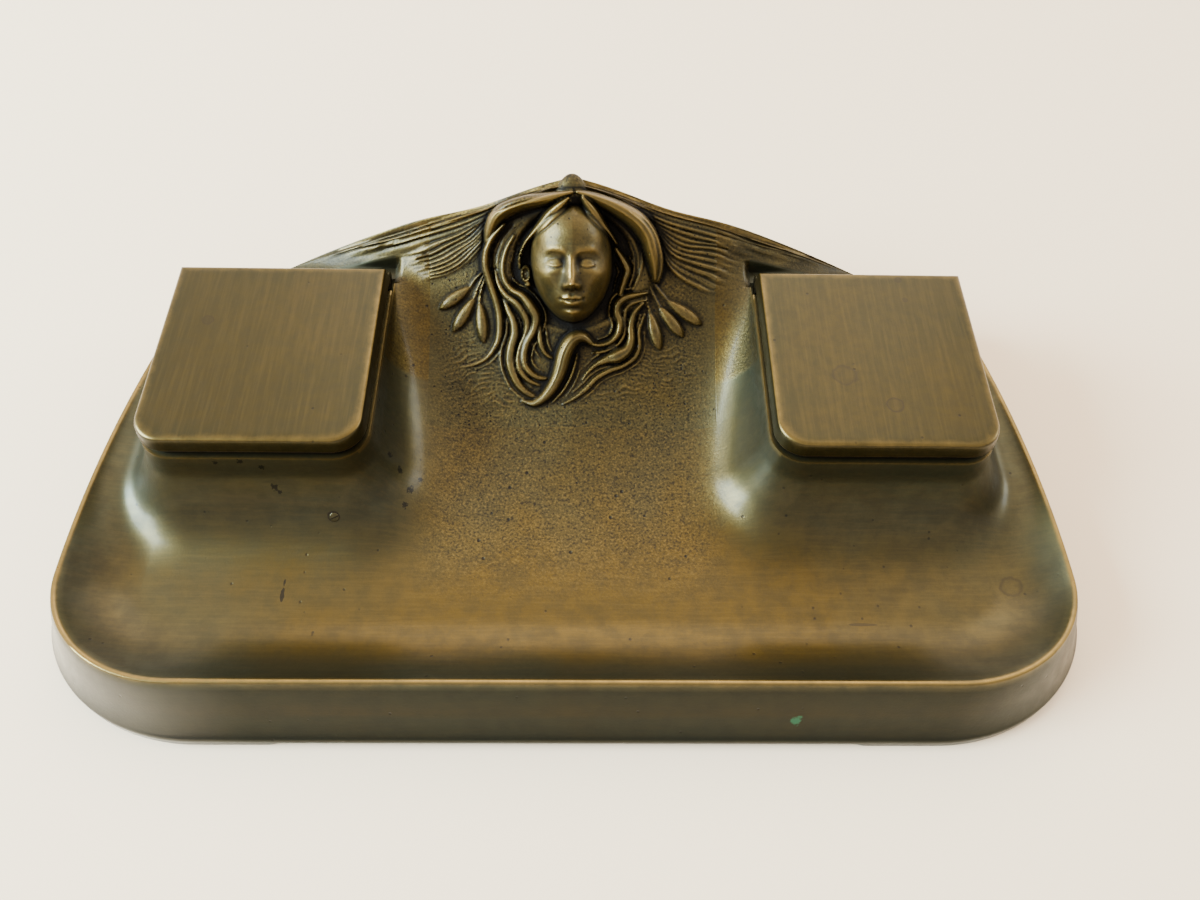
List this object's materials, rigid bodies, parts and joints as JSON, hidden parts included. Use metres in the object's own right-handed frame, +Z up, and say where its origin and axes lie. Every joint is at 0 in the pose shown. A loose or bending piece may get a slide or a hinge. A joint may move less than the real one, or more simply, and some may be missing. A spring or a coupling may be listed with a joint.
{
  "type": "desk inkstand",
  "caption": "Cast bronze desk inkstand: pen tray with two hinged-lid wells, glass ink liners and a gabled back ridge with a mask in flowing hair.",
  "frame": {"origin": "centre of the footprint, on the plane that the foot pads stand on", "axes": "+X to the right seen from the front, +Y towards the back ridge, +Z up"},
  "size_m": [0.34, 0.17, 0.0817],
  "materials": {
    "bronze_patina": "olive-brown patina, satin, rubbed golden on the rim and arrises",
    "bronze_relief": "golden on the high points, dark in the hollows",
    "lid_bronze": "smooth satin patina with rubbed arrises",
    "pin_brass": "turned, dull",
    "liner_glass": "clear pressed glass",
    "plug_brass": "filed flush, slotted"
  },
  "bodies": {
    "base": {"tray_casting": "bronze_patina", "mask_relief": "bronze_relief", "hinge_pin_left": "pin_brass", "hinge_pin_right": "pin_brass", "ink_liner_left": "liner_glass", "ink_liner_right": "liner_glass", "core_plug": "plug_brass"},
    "left_lid": {"lid_left": "lid_bronze"},
    "right_lid": {"lid_right": "lid_bronze"}
  },
  "joints": [
    {"name": "left_lid_hinge", "type": "hinge", "parent": "base", "child": "left_lid", "pos_m": [-0.10025, 0.0652, 0.0463], "axis": [-1, 0, 0], "range_deg": [0, 96]},
    {"name": "right_lid_hinge", "type": "hinge", "parent": "base", "child": "right_lid", "pos_m": [0.10025, 0.0652, 0.0463], "axis": [-1, 0, 0], "range_deg": [0, 96]}
  ]
}
